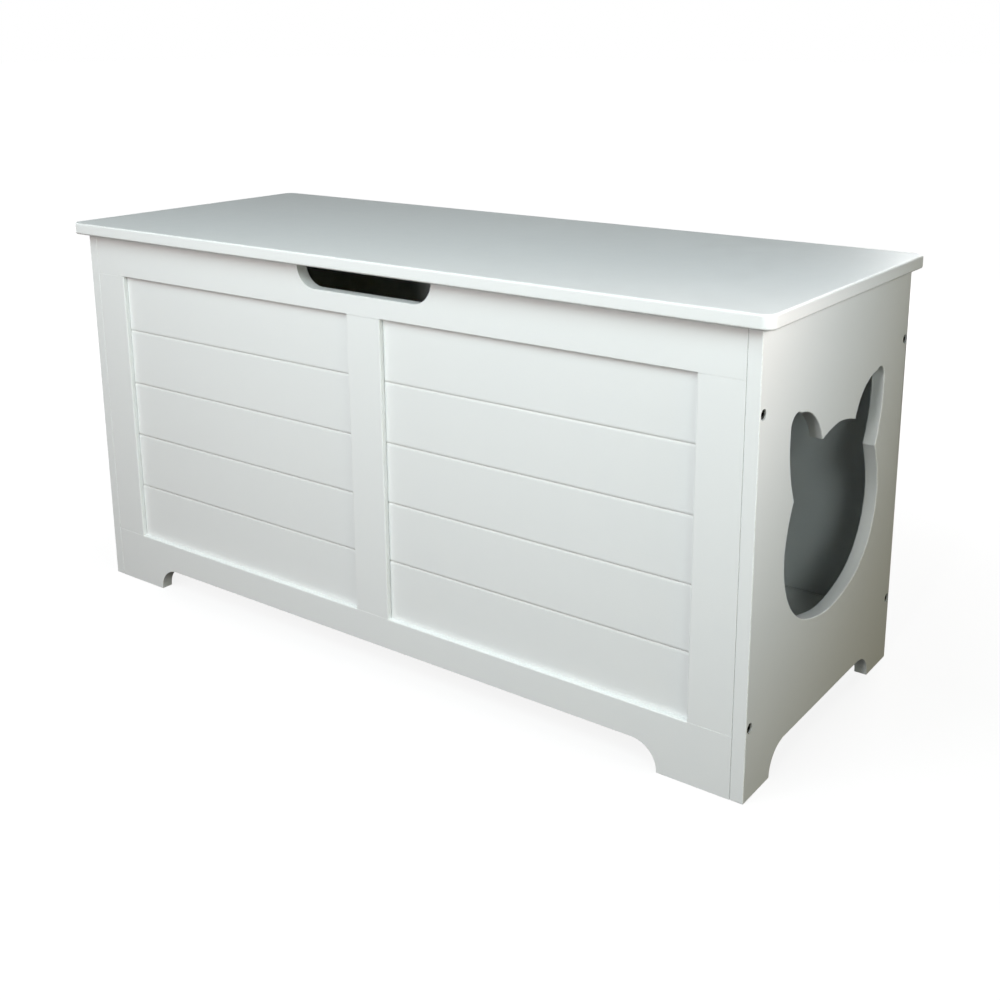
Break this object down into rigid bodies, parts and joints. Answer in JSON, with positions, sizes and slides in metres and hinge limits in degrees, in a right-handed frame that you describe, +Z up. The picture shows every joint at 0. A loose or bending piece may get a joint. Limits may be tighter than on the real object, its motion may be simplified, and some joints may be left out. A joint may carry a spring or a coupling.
{
  "type": "cat litter box cabinet",
  "caption": "White painted board bench that hides a litter tray, with a back-hinged lid, a framed front and a cat-head doorway in its right side",
  "frame": {"origin": "middle of the outline seen from above, on the ground under the feet", "axes": "+X to the right seen from the front, along the cabinet's length; +Y to the back; +Z up"},
  "size_m": [1, 0.4002, 0.495],
  "materials": {
    "paint": "satin white paint on fibreboard",
    "black_screws": "black oxide",
    "hardware": "bright zinc",
    "bumpers": "matt, milky"
  },
  "bodies": {
    "case": {"side_left": "paint", "side_right": "paint", "front_top_rail": "paint", "front_bottom_rail": "paint", "front_stile_left": "paint", "front_stile_right": "paint", "front_post": "paint", "front_panel_left": "paint", "front_panel_right": "paint", "back_board": "paint", "floor_board": "paint", "floor_cleat_front": "paint", "floor_cleat_back": "paint", "divider": "paint", "side_screw_left_front_low": "black_screws", "side_screw_left_front_high": "black_screws", "side_screw_left_back_low": "black_screws", "side_screw_left_back_high": "black_screws", "side_screw_right_front_low": "black_screws", "side_screw_right_front_high": "black_screws", "side_screw_right_back_low": "black_screws", "side_screw_right_back_high": "black_screws", "divider_screw_back_low": "black_screws", "divider_screw_back_high": "black_screws", "divider_screw_floor_front": "black_screws", "divider_screw_floor_back": "black_screws", "cleat_screw_front_left": "hardware", "cleat_screw_front_right": "hardware", "cleat_screw_back_left": "hardware", "cleat_screw_back_right": "hardware", "hinge_left_case_leaf": "hardware", "hinge_left_pin": "hardware", "hinge_left_case_screw_left": "hardware", "hinge_left_case_screw_right": "hardware", "hinge_right_case_leaf": "hardware", "hinge_right_pin": "hardware", "hinge_right_case_screw_left": "hardware", "hinge_right_case_screw_right": "hardware", "stay_wall_plate": "hardware", "stay_wall_rivet": "hardware", "stay_wall_screw_high": "hardware", "stay_wall_screw_low": "hardware", "bumper_front_left": "bumpers", "bumper_front_right": "bumpers", "bumper_side_left": "bumpers", "bumper_side_right": "bumpers"},
    "lid": {"lid": "paint", "hinge_left_lid_leaf": "hardware", "hinge_left_lid_screw_left": "hardware", "hinge_left_lid_screw_right": "hardware", "hinge_right_lid_leaf": "hardware", "hinge_right_lid_screw_left": "hardware", "hinge_right_lid_screw_right": "hardware", "stay_lid_bracket": "hardware", "stay_lid_rivet": "hardware", "stay_lid_screw_front": "hardware", "stay_lid_screw_back": "hardware"},
    "stay_lower": {"stay_lower_arm": "hardware"},
    "stay_upper": {"stay_upper_arm": "hardware", "stay_elbow_rivet": "hardware"}
  },
  "joints": [
    {"name": "lid_hinge", "type": "hinge", "parent": "case", "child": "lid", "pos_m": [0, 0.19765, 0.479], "axis": [-1, 0, 0], "range_deg": [0, 95]},
    {"name": "stay_wall_pivot", "type": "hinge", "parent": "case", "child": "stay_lower", "pos_m": [-0.4667, 0.15485, 0.312], "axis": [-1, 0, 0], "range_deg": [0, 95]},
    {"name": "stay_elbow", "type": "hinge", "parent": "stay_lower", "child": "stay_upper", "pos_m": [-0.4655, 0.00485, 0.299], "axis": [-1, 0, 0], "range_deg": [-95, 0]}
  ],
  "couplings": [
    {"joint": "stay_wall_pivot", "follows": "lid_hinge", "ratio": 1},
    {"joint": "stay_elbow", "follows": "lid_hinge", "ratio": -1}
  ]
}
